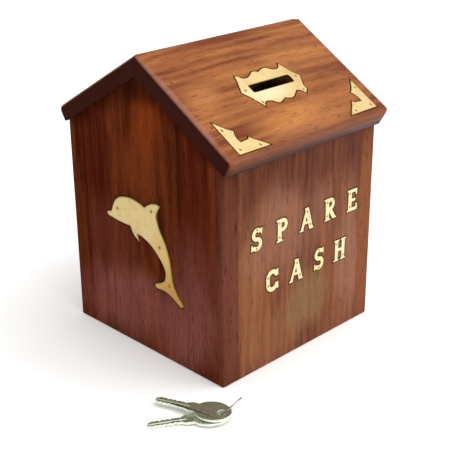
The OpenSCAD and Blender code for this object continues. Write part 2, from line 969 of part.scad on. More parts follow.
// Bent arm that hangs down when unlocked and turns behind the lock stile
module lock_cam() {
    color(steel) translate([lock_x, cam_y - cam_t, lock_z]) difference() {
        intersection() {
            union() {
                rotate([-90, 0, 0]) cylinder(r = cam_hub_r, h = cam_t);
                translate([-cam_w / 2, 0, 0]) rotate([-90, 0, -90])
                    linear_extrude(cam_w) polygon([[0, 0], [0, cam_bend_at],
                        [-cam_crank, cam_bend_at + cam_bend], [-cam_crank, cam_len + 1],
                        [-cam_crank - cam_t, cam_len + 1],
                        [-cam_crank - cam_t, cam_bend_at + cam_bend - cam_mitre],
                        [-cam_t, cam_bend_at - cam_mitre], [-cam_t, 0]]);
            }
            translate([0, -1, 0]) rotate([-90, 0, 0])
                cylinder(r = cam_len, h = cam_t + cam_crank + 2);
        }
        translate([-tenon / 2, -1, -tenon / 2]) cube([tenon, cam_t + 2, tenon]);
    }
}

module cam_washer() {
    color(steel) difference() {
        lock_round(washer_r, cam_y - cam_t - washer_t, cam_y - cam_t);
        lock_round(cam_screw_r, cam_y - cam_t - washer_t - 1, cam_y);
    }
}

module cam_screw() {
    head_y = cam_y - cam_t - washer_t;
    color(steel) difference() {
        union() {
            lock_round(cam_screw_head_r, head_y - cam_screw_head_t, head_y);
            lock_round(cam_screw_r, head_y - 1, cam_screw_end);
        }
        translate([lock_x - cam_slot_w / 2, head_y - cam_screw_head_t - cam_slot_w,
            lock_z - cam_screw_head_r - 1])
            cube([cam_slot_w, 2 * cam_slot_w, 2 * cam_screw_head_r + 2]);
    }
}

// ---- Keys ----

// Flat blank from its hole at the origin, its blade along +X: an oval bow, a
// shoulder as wide as its chord, and the blade
module key_shape() {
    bow_steps = 56;
    join = asin(shoulder_w / bow_w);
    tip_x = key_reach - tip_len;
    half = blade_w / 2;
    bow = [for (i = [0 : bow_steps])
        let (a = join + (360 - 2 * join) * i / bow_steps)
        [bow_len / 2 * (1 + cos(a)) - bow_end, bow_w / 2 * sin(a)]];
    polygon(concat(bow,
        [[shoulder_x, -shoulder_w / 2]],
        cut_edge(-1),
        [[tip_x, -half], [key_reach, -tip_w / 2], [key_reach, tip_w / 2], [tip_x, half]],
        reversed(cut_edge(1)),
        [[shoulder_x, shoulder_w / 2]]));
}

function reversed(list) = [for (i = [len(list) - 1 : -1 : 0]) list[i]];

// One edge of the blade with its cuts, each two slopes and a flat
function cut_edge(side) =
    [for (i = [0 : len(KEY_CUTS) - 1], j = [0 : 2])
        [blade_x + (i + [0.1, 0.4, 0.7][j]) * cut_pitch,
            side * (blade_w / 2 - [0, KEY_CUTS[side > 0 ? i : len(KEY_CUTS) - 1 - i], 0][j])]];

module key_blank() {
    difference() {
        linear_extrude(key_t) key_shape();
        translate([0, 0, -1]) cylinder(r = key_hole_r, h = key_t + 2);
        translate([shoulder_x, groove_off, key_t - groove_d]) cube([key_reach, groove_w, key_t]);
        translate([shoulder_x, -groove_off - groove_w, groove_d - key_t])
            cube([key_reach, groove_w, key_t]);
    }
}

// The keys' common slope: down from the lower key's bow to its tip
module on_ring_slope(hole_at, heading, lift) {
    translate([lower_hole_at[0], lower_hole_at[1], key_rise])
        rotate([0, 0, lower_heading]) rotate([0, key_tilt, 0]) rotate([0, 0, -lower_heading])
        translate([hole_at[0] - lower_hole_at[0], hole_at[1] - lower_hole_at[1], lift])
        rotate([0, 0, heading]) children();
}

module key_lower() {
    color(nickel) on_ring_slope(lower_hole_at, lower_heading, 0) key_blank();
}

module key_upper() {
    color(nickel) on_ring_slope(upper_hole_at, upper_heading, key_t + key_gap) key_blank();
}

module key_ring() {
    color(nickel) translate([ring_at[0], ring_at[1], ring_z])
        rotate([0, ring_tilt, ring_heading]) rotate_extrude()
        translate([ring_r, 0]) circle(r = wire_r);
}

gable_left();
gable_right();
front_panel();
back_stile_hinge();
back_stile_lock();
back_rail_top();
back_rail_bottom();
base_panel();
roof_front();
roof_rear();
wall_pins();
roof_pins();
base_pins();
slot_plate();
corner_plate_left();
corner_plate_right();
roof_plate_pins();
roof_filler();
dolphin_inlay();
dolphin_pins();
gable_filler();
letter(0);  // letter_1_s
letter(1);  // letter_2_p
letter(2);  // letter_3_a
letter(3);  // letter_4_r
letter(4);  // letter_5_e
letter(5);  // letter_6_c
letter(6);  // letter_7_a
letter(7);  // letter_8_s
letter(8);  // letter_9_h
letter_pins();
front_filler();
door();
door_stop_top();
door_stop_bottom();
frame_leaf(1);  // hinge_upper_frame_leaf
door_leaf(1);  // hinge_upper_door_leaf
hinge_pin(1);  // hinge_upper_pin
frame_leaf(-1);  // hinge_lower_frame_leaf
door_leaf(-1);  // hinge_lower_door_leaf
hinge_pin(-1);  // hinge_lower_pin
hinge_screws_frame();
hinge_screws_door();
lock_body();
lock_nut();
lock_plug();
lock_wafers();
lock_cam();
cam_washer();
cam_screw();
key_lower();
key_upper();
key_ring();
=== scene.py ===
import json
from math import cos, pi, radians, sin, tan

import bmesh
import bpy
from mathutils import Matrix, Vector

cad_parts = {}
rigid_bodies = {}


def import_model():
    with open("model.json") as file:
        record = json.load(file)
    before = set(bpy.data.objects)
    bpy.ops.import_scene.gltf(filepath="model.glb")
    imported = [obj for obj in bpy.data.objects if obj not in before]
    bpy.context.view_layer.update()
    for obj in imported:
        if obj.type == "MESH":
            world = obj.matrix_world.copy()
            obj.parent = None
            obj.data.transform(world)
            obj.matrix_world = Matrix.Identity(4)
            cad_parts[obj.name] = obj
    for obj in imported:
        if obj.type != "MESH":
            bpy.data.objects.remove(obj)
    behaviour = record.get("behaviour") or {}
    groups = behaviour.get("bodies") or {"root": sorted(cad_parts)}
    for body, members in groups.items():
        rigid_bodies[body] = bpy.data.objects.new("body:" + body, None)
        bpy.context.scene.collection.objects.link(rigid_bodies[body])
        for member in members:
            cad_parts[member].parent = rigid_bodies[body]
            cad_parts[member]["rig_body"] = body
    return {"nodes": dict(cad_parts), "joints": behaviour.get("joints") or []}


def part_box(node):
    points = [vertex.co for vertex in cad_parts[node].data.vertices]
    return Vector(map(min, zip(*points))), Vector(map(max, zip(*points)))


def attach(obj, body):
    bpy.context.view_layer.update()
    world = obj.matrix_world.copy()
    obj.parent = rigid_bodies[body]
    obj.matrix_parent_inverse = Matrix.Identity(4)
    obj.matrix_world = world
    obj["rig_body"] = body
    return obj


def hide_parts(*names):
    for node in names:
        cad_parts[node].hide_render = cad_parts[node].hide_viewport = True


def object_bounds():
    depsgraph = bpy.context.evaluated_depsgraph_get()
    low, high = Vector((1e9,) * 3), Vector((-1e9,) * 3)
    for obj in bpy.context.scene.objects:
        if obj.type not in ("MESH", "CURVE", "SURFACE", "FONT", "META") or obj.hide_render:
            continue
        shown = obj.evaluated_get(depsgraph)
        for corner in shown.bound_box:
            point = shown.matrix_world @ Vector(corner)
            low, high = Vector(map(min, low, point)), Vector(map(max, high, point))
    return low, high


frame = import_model()
cad_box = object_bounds()


# ---- Camera ----
# Some 57 cm from the middle of the box and 31 cm up, in front of the near corner, looking down
# 23 degrees through a long lens with a hair of roll.
eye = Vector((-0.4021, -0.4105, 0.3061))
azimuth, elevation, roll = radians(-44.54), radians(23.16), radians(-0.52)
back = Vector((sin(azimuth) * cos(elevation), -cos(azimuth) * cos(elevation), sin(elevation)))
right = Vector((cos(azimuth), sin(azimuth), 0))
up = back.cross(right)
lens = bpy.data.cameras.new("camera")
lens.lens = 81.5
lens.sensor_width = 36
lens.clip_start = 0.01
lens.clip_end = 50
camera = bpy.data.objects.new("camera", lens)
camera.matrix_world = Matrix.Translation(eye) @ Matrix((
    right * cos(roll) + up * sin(roll),
    up * cos(roll) - right * sin(roll),
    back)).transposed().to_4x4()
bpy.context.collection.objects.link(camera)
bpy.context.scene.camera = camera


# ---- Wall boards ----
# Planed sheesham boards, 10 and 12 mm thick. The two gables run the full depth and the front and
# back stand between them, glued and nailed. Every arris that a hand meets is eased with sandpaper,
# the joints stay crisp, and a wax and varnish finish pools dark in the open pores.

def hexed(code):
    """An sRGB hex colour as linear RGBA."""
    parts = [int(code[i:i + 2], 16) / 255 for i in (0, 2, 4)]
    linear = [p / 12.92 if p <= 0.04045 else ((p + 0.055) / 1.055) ** 2.4 for p in parts]
    return linear + [1.0]


def add(tree, kind, inputs=None, **settings):
    """Adds a node with its settings. An input takes a value or another node's socket."""
    node = tree.nodes.new(kind)
    for key, value in settings.items():
        setattr(node, key, value)
    for key, value in (inputs or {}).items():
        if isinstance(value, bpy.types.NodeSocket):
            tree.links.new(value, node.inputs[key])
        else:
            node.inputs[key].default_value = value
    return node


def started(name):
    """A material with an empty tree, and the place on the piece that its patterns read."""
    material = bpy.data.materials.new(name)
    material.use_nodes = True
    tree = material.node_tree
    tree.nodes.clear()
    return material, tree, add(tree, "ShaderNodeTexCoord").outputs["Object"]


def tinted(tree, place, colour, patches, wander=None, veil=None):
    """Lays soft patches over a colour socket: (centre mm, radii mm, colour, strength). wander makes
    their outlines ragged and veil breaks them up along the grain."""
    for centre, radii, tint, strength in patches:
        local = add(tree, "ShaderNodeMapping", {
            "Vector": place, "Location": [c / 1000 for c in centre],
            "Scale": [r / 1000 for r in radii]}, vector_type="TEXTURE")
        if wander:
            ragged = add(tree, "ShaderNodeVectorMath", {
                0: wander, 1: (1.3, 1.3, 1.3), 2: local.outputs[0]}, operation="MULTIPLY_ADD")
            local = add(tree, "ShaderNodeVectorMath", {
                0: ragged.outputs[0], 1: (0.65, 0.65, 0.65)}, operation="SUBTRACT")
        far = add(tree, "ShaderNodeVectorMath", {0: local.outputs[0]}, operation="LENGTH")
        near = add(tree, "ShaderNodeMapRange", {
            "Value": far.outputs["Value"], "From Min": 1.1, "From Max": 0.35,
            "To Max": strength}, interpolation_type="SMOOTHSTEP").outputs[0]
        if veil:
            near = add(tree, "ShaderNodeMath", {0: near, 1: veil}, operation="MULTIPLY").outputs[0]
        colour = add(tree, "ShaderNodeMix", {
            0: near, 6: colour, 7: hexed(tint)}, data_type="RGBA").outputs[2]
    return colour


def sheesham(name, light, dark, pore, grain="Z", seed=0, patches=(), shine=0.36, gloss=0.12,
             varnish=0.04, stains_and_painted_light=(), ends=None):
    """Sheesham, sawn through and through: streaks along the grain, growth rings and open pores.
    The varnish gives the eye a soft satin gloss over a deep brown. A patch is a colour that the
    heartwood or sapwood takes about a centre, and a stain is one that ignores the grain; some patches
    and stains are painted shade and painted highlights, marked where they are given. Past ends, in mm
    along X, the end grain is nearly black, partly its own soaked colour and partly painted shade, and
    every face that looks down is painted near black as shade."""
    material, tree, place = started(name)
    turned = {"Z": (0, 0, 0), "X": (0, radians(90), 0)}[grain]
    along = add(tree, "ShaderNodeMapping", {
        "Vector": place, "Rotation": turned, "Location": (seed * 0.37, seed * 0.23, seed * 0.61)})
    # slow bends of the grain, 60 mm long and 8 mm deep
    bend = add(tree, "ShaderNodeMapping", {"Vector": along.outputs[0], "Scale": (1, 1, 0.35)})
    bends = add(tree, "ShaderNodeTexNoise", {
        "Vector": bend.outputs[0], "Scale": 1 / 0.045, "Detail": 2})
    wavy = add(tree, "ShaderNodeVectorMath", {
        0: bends.outputs["Color"], 1: (0.012, 0.012, 0.0), 2: along.outputs[0]},
        operation="MULTIPLY_ADD")
    # growth rings about 5 mm apart: at scale 1 the wave repeats every 0.314 m
    ring = add(tree, "ShaderNodeTexWave", {
        "Vector": wavy.outputs[0], "Scale": 0.314 / 0.0052, "Distortion": 2.4, "Detail": 3,
        "Detail Scale": 0.7}, wave_type="RINGS", rings_direction="Z", wave_profile="SIN")
    # figure 9 mm wide and 110 mm long, and streaks 2 mm wide and 60 mm long
    wide = add(tree, "ShaderNodeMapping", {"Vector": wavy.outputs[0], "Scale": (1, 1, 0.085)})
    figure = add(tree, "ShaderNodeTexNoise", {
        "Vector": wide.outputs[0], "Scale": 1 / 0.009, "Detail": 4, "Roughness": 0.6})
    slim = add(tree, "ShaderNodeMapping", {"Vector": wavy.outputs[0], "Scale": (1, 1, 0.035)})
    streak = add(tree, "ShaderNodeTexNoise", {
        "Vector": slim.outputs[0], "Scale": 1 / 0.0022, "Detail": 4, "Roughness": 0.65})
    # pores are 0.2 mm wide in the real wood, and 0.5 mm here so that they show
    fine = add(tree, "ShaderNodeMapping", {"Vector": wavy.outputs[0], "Scale": (1, 1, 0.07)})
    pores = add(tree, "ShaderNodeTexNoise", {
        "Vector": fine.outputs[0], "Scale": 1 / 0.0005, "Detail": 2, "Roughness": 0.5})
    open_pores = add(tree, "ShaderNodeMapRange", {
        "Value": pores.outputs["Fac"], "From Min": 0.56, "From Max": 0.74},
        interpolation_type="SMOOTHSTEP")
    cloud = add(tree, "ShaderNodeTexNoise", {
        "Vector": bend.outputs[0], "Scale": 1 / 0.03, "Detail": 3})
    # each of them adds its share to the dark
    shade = -0.38
    for part, share in ((figure, 1.2), (streak, 0.75), (ring, 0.16), (cloud, 0.5)):
        shade = add(tree, "ShaderNodeMath", {
            0: part.outputs["Fac"], 1: share, 2: shade}, operation="MULTIPLY_ADD").outputs[0]
    depth = add(tree, "ShaderNodeMapRange", {"Value": shade, "From Min": 0.42, "From Max": 1.12})
    # in ShaderNodeMix, sockets 6 and 7 are the two colours and output 2 is the result
    colour = add(tree, "ShaderNodeMix", {
        0: depth.outputs[0], 6: hexed(light), 7: hexed(dark)}, data_type="RGBA")
    wander = add(tree, "ShaderNodeTexNoise", {
        "Vector": bend.outputs[0], "Scale": 1 / 0.022, "Detail": 3})
    veil = add(tree, "ShaderNodeMapRange", {
        "Value": streak.outputs["Fac"], "From Min": 0.3, "From Max": 0.6, "To Min": 0.45})
    # some patches and stains are painted shade and painted highlights, marked where they are given
    colour = tinted(tree, place, colour.outputs[2], patches, wander.outputs["Color"], veil.outputs[0])
    colour = tinted(tree, place, colour, stains_and_painted_light)
    lines = add(tree, "ShaderNodeMath", {0: open_pores.outputs[0], 1: 0.75}, operation="MULTIPLY")
    colour = add(tree, "ShaderNodeMix", {
        0: lines.outputs[0], 6: colour, 7: hexed(pore)}, data_type="RGBA")
    sheen = gloss
    # painted shade: past ends the faces go near black, partly the end grain's own soaked colour, and
    # every face that looks down is painted near black as shade
    if ends:
        reach = add(tree, "ShaderNodeSeparateXYZ", {0: place})
        out = add(tree, "ShaderNodeMath", {0: reach.outputs[0]}, operation="ABSOLUTE")
        end_grain_and_shade = add(tree, "ShaderNodeMapRange", {
            "Value": out.outputs[0], "From Min": ends / 1000 - 0.0011,
            "From Max": ends / 1000 - 0.0002, "To Max": 0.98}, interpolation_type="SMOOTHSTEP")
        facing = add(tree, "ShaderNodeSeparateXYZ", {
            0: add(tree, "ShaderNodeTexCoord").outputs["Normal"]})
        painted_underside_shade = add(tree, "ShaderNodeMapRange", {
            "Value": facing.outputs[2], "From Min": -0.5, "From Max": -0.8, "To Max": 0.9})
        end_grain_and_shade = add(tree, "ShaderNodeMath", {
            0: end_grain_and_shade.outputs[0], 1: painted_underside_shade.outputs[0]}, operation="MAXIMUM")
        sheen = add(tree, "ShaderNodeMapRange", {
            "Value": end_grain_and_shade.outputs[0], "To Min": gloss, "To Max": 0.0}).outputs[0]
        colour = add(tree, "ShaderNodeMix", {
            0: end_grain_and_shade.outputs[0], 6: colour.outputs[2], 7: hexed("32100a")}, data_type="RGBA")
    rough = add(tree, "ShaderNodeMapRange", {
        "Value": cloud.outputs["Fac"], "From Min": 0.3, "From Max": 0.7,
        "To Min": shine - 0.05, "To Max": shine + 0.08})
    height = add(tree, "ShaderNodeMath", {
        0: open_pores.outputs[0], 1: -0.7, 2: streak.outputs["Fac"]}, operation="MULTIPLY_ADD")
    relief = add(tree, "ShaderNodeBump", {
        "Height": height.outputs[0], "Strength": 0.22, "Distance": 0.0003})
    skin = add(tree, "ShaderNodeBsdfPrincipled", {
        "Base Color": colour.outputs[2], "Roughness": rough.outputs[0], "IOR": 1.5,
        "Specular IOR Level": sheen, "Coat Weight": varnish, "Coat Roughness": 0.16, "Coat IOR": 1.5,
        "Normal": relief.outputs[0]})
    add(tree, "ShaderNodeOutputMaterial", {"Surface": skin.outputs[0]})
    return material


def eased(node, soft, material, steps=3):
    """A copy of a CAD node with rounded edges, which stands for it. soft(middle, one, other) gives
    an edge's radius in mm from its middle in mm and its two faces' outward normals."""
    curved = 0.35  # radians between two faces, below which the edge is part of a curve
    source = frame["nodes"][node]
    mesh = source.data.copy()
    for layer in [a.name for a in mesh.attributes if a.name == "custom_normal"]:
        mesh.attributes.remove(mesh.attributes[layer])
    shape = bmesh.new()
    shape.from_mesh(mesh)
    bmesh.ops.remove_doubles(shape, verts=shape.verts, dist=2e-6)
    bmesh.ops.dissolve_limit(shape, angle_limit=0.01, verts=shape.verts, edges=shape.edges)
    weight = shape.edges.layers.float.new("bevel_weight_edge")
    wide = 0.0
    radii = {}
    for edge in shape.edges:
        edge.smooth = True
        if len(edge.link_faces) == 2 and edge.calc_face_angle(0) > curved:
            one, other = (f.normal.copy() for f in edge.link_faces)
            middle = (edge.verts[0].co + edge.verts[1].co) * 500  # half the sum, in mm
            radius = soft(middle, one, other) if edge.is_convex else 0
            radii[edge] = radius
            edge.smooth = radius > 0
            wide = max(wide, radius)
    for edge, radius in radii.items():
        edge[weight] = radius / wide if wide else 0
    for face in shape.faces:
        face.smooth = True
    shape.to_mesh(mesh)
    shape.free()
    piece = bpy.data.objects.new(node + "_piece", mesh)
    bpy.context.collection.objects.link(piece)
    if wide:
        bevel = piece.modifiers.new("eased edges", "BEVEL")
        bevel.limit_method = "WEIGHT"
        bevel.width = wide / 1000
        bevel.segments = steps
        bevel.use_clamp_overlap = False
    flat = piece.modifiers.new("flat faces stay flat", "WEIGHTED_NORMAL")
    flat.keep_sharp = True
    finished = piece.evaluated_get(bpy.context.evaluated_depsgraph_get())
    made = bpy.data.meshes.new_from_object(finished)
    piece.modifiers.clear()
    piece.data = made
    piece.data.materials.clear()
    piece.data.materials.append(material)
    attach(piece, source["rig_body"])
    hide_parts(node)


half_width, half_depth = 63.5, 64


def wall_edge(middle, one, other):
    """Corners of the box are rounded, its foot a little, joints hardly. The pockets of the inlay
    and what lies under the roof stay crisp."""
    on_gable = abs(middle.x) > half_width - 0.1
    on_front_or_back = abs(middle.y) > half_depth - 0.1
    by_dolphin = middle.x < -60 and abs(middle.y) < 60 and 30 < middle.z < 120
    by_letters = middle.y < -60 and abs(middle.x) < 50 and 30 < middle.z < 110
    pocket = one.angle(other, 0) > 1.2 and (by_dolphin or by_letters)
    under_roof = middle.z > 100 and max(abs(one.z), abs(other.z)) > 0.5
    if on_gable and on_front_or_back:
        return 1.3
    if middle.z < 0.1 and (on_gable or on_front_or_back):
        return 0.9
    return 0 if pocket or under_roof else 0.18


gable_wood = sheesham(
    "dark varnished sheesham", "7a3a1e", "3e160a", "1c0904", seed=1, shine=0.36,
    gloss=0.0, varnish=0.0, patches=[
        ((-63, -4, 138), (40, 14, 30), "8e3e16", 0.75),
        ((-63, 2, 108), (40, 22, 26), "7e3a1c", 0.7),
        ((-63, 38, 118), (40, 20, 60), "48140c", 0.8),
        ((-63, -42, 104), (40, 16, 44), "581c10", 0.7),
        # painted reflection: this patch and those at (10, 22) and (-40, 30) lay a pinkish grey haze
        # on the lower gable, as the pale floor would in varnish
        ((-63, -44, 60), (40, 22, 36), "6e3830", 0.7),
        ((-63, 10, 22), (40, 70, 34), "8c5048", 0.85),
        ((-63, 30, 66), (40, 30, 26), "6c3428", 0.6),
        ((-63, -40, 30), (40, 26, 40), "804a42", 0.7),
        # painted shade: the top of the gable under the roof
        ((-63, 0, 160), (40, 60, 14), "240a04", 0.8)],
    stains_and_painted_light=[
        # painted shade: the gable along both slopes, under the roof
        ((-63, -34, 151), (40, 20, 13), "3a1008", 0.65),
        ((-63, -54, 138), (40, 18, 12), "3a1008", 0.65),
        ((-63, 34, 151), (40, 20, 13), "2e0c06", 0.7),
        ((-63, 54, 138), (40, 18, 12), "2e0c06", 0.7),
        ((57, -64, 60), (14, 6, 110), "8e583c", 0.85),
        ((-57, -64, 60), (14, 5, 110), "74463a", 0.6)])
front_wood = sheesham(
    "varnished sheesham", "9c5c36", "60301c", "2c130b", seed=2, shine=0.34,
    gloss=0.07, varnish=0.03, patches=[
        ((-44, -64, 60), (14, 30, 50), "a46a3e", 0.5),
        ((-20, -64, 20), (34, 30, 22), "94603c", 0.5),
        ((6, -64, 30), (22, 30, 22), "8c6c46", 0.7),
        # painted shade: the top of the front wall under the eave
        ((0, -64, 118), (90, 30, 26), "541e0a", 0.85),
        # painted sheen: a pale patch in the middle of the front
        ((-14, -64, 80), (44, 30, 36), "a0705a", 0.5),
        ((44, -64, 50), (18, 30, 60), "9c6a52", 0.7)])
back_wood = sheesham(
    "varnished sheesham of the back", "96522c", "572813", "2a1108", seed=4, gloss=0.06)
rail_wood = sheesham(
    "varnished sheesham of the rails", "96522c", "572813", "2a1108", grain="X", seed=5, gloss=0.06)

eased("gable_left", wall_edge, gable_wood)
eased("gable_right", wall_edge, gable_wood)
eased("front_panel", wall_edge, front_wood)
for stile in ("back_stile_hinge", "back_stile_lock"):
    eased(stile, wall_edge, back_wood)
for rail in ("back_rail_top", "back_rail_bottom"):
    eased(rail, wall_edge, rail_wood)


# ---- Base board and door stops ----
# An 8 mm board let in flush between the walls and nailed, and two strips glued inside the back for
# the door to shut against. Nobody sees them, so they are bare sawn sheesham: paler, dry and matt.

inner_wood = sheesham(
    "sawn sheesham", "b58a5e", "7d5233", "4a2c1a", grain="X", seed=7, shine=0.7, varnish=0)
for part in ("base_panel", "door_stop_top", "door_stop_bottom"):
    eased(part, lambda middle, one, other: 0.3, inner_wood)


# ---- Roof boards ----
# Two 10 mm boards mitred at the ridge, standing out past the walls. Their edges are rasped and
# sanded round by hand, most of all the eave's corners, and the end grain drinks the varnish dark;
# that near-black is partly painted shade. The undersides, the eave's face and the slot are painted
# dark as shade, and the rake and the eave's top edge carry painted highlights.

roof_end, ridge_height = 65, 178
pitch = radians(31)


def roof_edge(middle, one, other):
    """Round eaves and ends, a soft ridge, crisp pockets."""
    # how far the edge lies under the slope's upper face
    deep = ((ridge_height - middle.z) - abs(middle.y) * tan(pitch)) * cos(pitch)
    at_end = abs(middle.x) > roof_end - 0.3
    upward = max(one.z, other.z) > 0.5
    eave = abs(middle.y) > 70 or deep > 6 and abs(middle.y) > 62
    if at_end and eave and not upward and abs(one.x) + abs(other.x) > 0.9 and deep < 9:
        return 6.0 if middle.x > 0 and middle.y < 0 else 3.5
    if at_end:
        return 3.0 if upward else 0.4
    if eave:
        return 3.0 if upward else 2.2
    return 1.6 if abs(middle.y) < 1 and deep < 1 else 0


roof_wood = sheesham(
    "varnished sheesham of the roof", "c27a40", "763a1e", "45200f", grain="X", seed=3, shine=0.33,
    gloss=0.08, varnish=0.04, ends=roof_end, patches=[
        ((-34, -12, 170), (26, 9, 12), "8a4a26", 0.6),
        ((-48, -34, 156), (16, 16, 12), "c8804a", 0.6),
        ((-20, -26, 162), (26, 8, 12), "c07a40", 0.5),
        ((-30, -47, 148), (24, 6, 12), "94582f", 0.5),
        ((35, -22, 163), (34, 14, 14), "bc7a44", 0.5),
        ((54, -50, 147), (14, 20, 30), "9c5e36", 0.45),
        ((10, -66, 137), (40, 6, 8), "bc7c50", 0.5),
        ((-6, -58, 144), (36, 9, 12), "d28a48", 0.8),
        ((20, -34, 158), (10, 26, 26), "b8743e", 0.5),
        ((30, -58, 142), (40, 12, 14), "b4733f", 0.5),
        ((0, -71, 134), (90, 6, 8), "885030", 0.55),
        # painted highlight: the rounded rake edge, lighter and pinker
        ((-65, -35, 155), (4, 60, 40), "b98a78", 0.5)],
    stains_and_painted_light=[
        # painted shade: the eave's face, darkest at its lower edge
        ((0, -69.6, 125.4), (200, 7, 9.5), "46211a", 0.95),
        # painted highlight: a pinkish line along the eave's top edge
        ((0, -73, 134.6), (200, 2.6, 2.6), "7c5246", 0.5),
        # painted highlight: the rake edge again, regardless of grain
        ((-63.4, -36, 156), (2.6, 60, 40), "9a6654", 0.5),
        # painted shade: the slot's walls and the wood under the plate, near black
        ((2.7, -33.8, 150.7), (27, 11.5, 11.5), "120703", 1.0)])
eased("roof_front", roof_edge, roof_wood, steps=8)
eased("roof_rear", roof_edge, roof_wood, steps=8)


# ---- Brass inlay ----
# Plates, dolphin and capitals sawn by hand from 1.5 mm brass sheet, let into the wood and sanded
# almost flush with it. Fine sanding leaves a pale satin gold with crossing hairline scratches.

def brass(name, colour, worn, shine, out=(0, 0, 1), rim="8f7a38", tints=(), rim_shade_width=0.3):
    """Cast and sanded brass: a bright yellow metal, matt where sanded, browner where the varnish
    has crept over it, and painted shade in olive on the rounded rim, rim_shade_width mm wide, that
    turns away from out."""
    material, tree, place = started(name)
    # sanding lines are 0.1 mm apart in the metal, and 0.5 mm here so that they show
    swept = add(tree, "ShaderNodeMapping", {
        "Vector": place, "Rotation": (0.2, 0.5, 0.35), "Scale": (0.06, 1, 1)})
    lines = add(tree, "ShaderNodeTexNoise", {
        "Vector": swept.outputs[0], "Scale": 1 / 0.0005, "Detail": 3, "Roughness": 0.6})
    spots = add(tree, "ShaderNodeTexNoise", {
        "Vector": place, "Scale": 1 / 0.006, "Detail": 4, "Roughness": 0.6})
    stain = add(tree, "ShaderNodeMapRange", {
        "Value": spots.outputs["Fac"], "From Min": 0.45, "From Max": 0.8, "To Max": 0.45},
        interpolation_type="SMOOTHSTEP")
    dull = add(tree, "ShaderNodeMath", {
        0: lines.outputs["Fac"], 1: 0.45, 2: stain.outputs[0]}, operation="MULTIPLY_ADD")
    mixed = add(tree, "ShaderNodeMapRange", {
        "Value": dull.outputs[0], "From Min": 0.2, "From Max": 1.2, "To Max": 0.8})
    tone = add(tree, "ShaderNodeMix", {
        0: mixed.outputs[0], 6: hexed(colour), 7: hexed(worn)}, data_type="RGBA").outputs[2]
    tone = tinted(tree, place, tone, tints)
    rounded = add(tree, "ShaderNodeBevel", {"Radius": rim_shade_width / 1000}, samples=6)
    facing = add(tree, "ShaderNodeVectorMath", {
        0: rounded.outputs[0], 1: out}, operation="DOT_PRODUCT")
    # painted shade: where the rounded rim turns away from out, the darker rim colour is laid on
    filed = add(tree, "ShaderNodeMapRange", {
        "Value": facing.outputs["Value"], "From Min": 0.995, "From Max": 0.88, "To Max": 0.95})
    tone = add(tree, "ShaderNodeMix", {
        0: filed.outputs[0], 6: tone, 7: hexed(rim)}, data_type="RGBA")
    rough = add(tree, "ShaderNodeMapRange", {
        "Value": lines.outputs["Fac"], "From Min": 0.3, "From Max": 0.7,
        "To Min": shine - 0.06, "To Max": shine + 0.1})
    relief = add(tree, "ShaderNodeBump", {
        "Height": lines.outputs["Fac"], "Strength": 0.18, "Distance": 0.0002,
        "Normal": rounded.outputs[0]})
    skin = add(tree, "ShaderNodeBsdfPrincipled", {
        "Base Color": tone.outputs[2], "Metallic": 1.0, "Roughness": rough.outputs[0],
        "Normal": relief.outputs[0]})
    add(tree, "ShaderNodeOutputMaterial", {"Surface": skin.outputs[0]})
    return material


roof_up = Vector((0, -sin(pitch), cos(pitch)))
gable_out = Vector((-1, 0, 0))
front_out = Vector((0, -1, 0))


def face_edge(out, radius):
    """Only the edges of the face that points out are rounded."""
    return lambda middle, one, other: radius if max(one.dot(out), other.dot(out)) > 0.99 else 0


# Of the plate's tints, fff0c8 is a painted highlight and d8b46a a painted shade.
plate_brass = brass(
    "sanded brass", "f0d498", "c49a50", 0.32, roof_up, "7c6628", tints=[
        ((-6, -41, 153), (20, 8, 8), "fff0c8", 0.7), ((22, -34, 156), (9, 12, 12), "d8b46a", 0.5)],
    rim_shade_width=0.9)
letter_brass = brass(
    "sanded brass of the capitals", "f6e2b2", "dcb56c", 0.36, front_out, "8a7236", rim_shade_width=0.45)
dolphin_brass = brass(
    "sanded brass of the dolphin", "d2ba84", "a67e40", 0.36, gable_out, "7c6a2c", tints=[
        ((-63.8, -26, 40), (20, 26, 26), "b8863a", 0.85),
        ((-63.8, -18, 66), (20, 12, 22), "c9a45c", 0.5)],
    rim_shade_width=2.0)
for plate in ("slot_plate", "corner_plate_left", "corner_plate_right"):
    eased(plate, face_edge(roof_up, 0.4), plate_brass, steps=2)
eased("dolphin_inlay", face_edge(gable_out, 0.6), dolphin_brass, steps=2)
for node in sorted(frame["nodes"]):
    if node.startswith("letter_") and node != "letter_pins":
        eased(node, face_edge(front_out, 0.28), letter_brass, steps=2)


# ---- Lac line ----
# The gap round each brass piece, run full of hot lac and sanding dust: a thin matt line, nearly
# black, that shrinks a little below the surface.

def lac(name, colour, dusty):
    """Shellac stick with sawdust in it: dark, slightly waxy, grainy where it shrank."""
    material, tree, place = started(name)
    grit = add(tree, "ShaderNodeTexNoise", {"Vector": place, "Scale": 1 / 0.0008, "Detail": 4})
    tone = add(tree, "ShaderNodeMix", {
        0: grit.outputs["Fac"], 6: hexed(colour), 7: hexed(dusty)}, data_type="RGBA")
    relief = add(tree, "ShaderNodeBump", {
        "Height": grit.outputs["Fac"], "Strength": 0.4, "Distance": 0.0002})
    skin = add(tree, "ShaderNodeBsdfPrincipled", {
        "Base Color": tone.outputs[2], "Roughness": 0.7, "IOR": 1.52, "Specular IOR Level": 0.05,
        "Normal": relief.outputs[0]})
    add(tree, "ShaderNodeOutputMaterial", {"Surface": skin.outputs[0]})
    return material


def coated(node, material):
    """Gives a CAD node its material, and leaves its shape alone."""
    mesh = frame["nodes"][node].data
    mesh.materials.clear()
    mesh.materials.append(material)


dark_lac = lac("dark lac", "0c0502", "1c0d06")
for node in ("roof_filler", "gable_filler", "front_filler"):
    coated(node, dark_lac)


# ---- Inlay pins ----
# Brass wire, 0.9 mm thick, driven through each inlay and filed off. The sanded end shows as a
# small dark-ringed dot, so each gets a low domed head on the end of its wire.

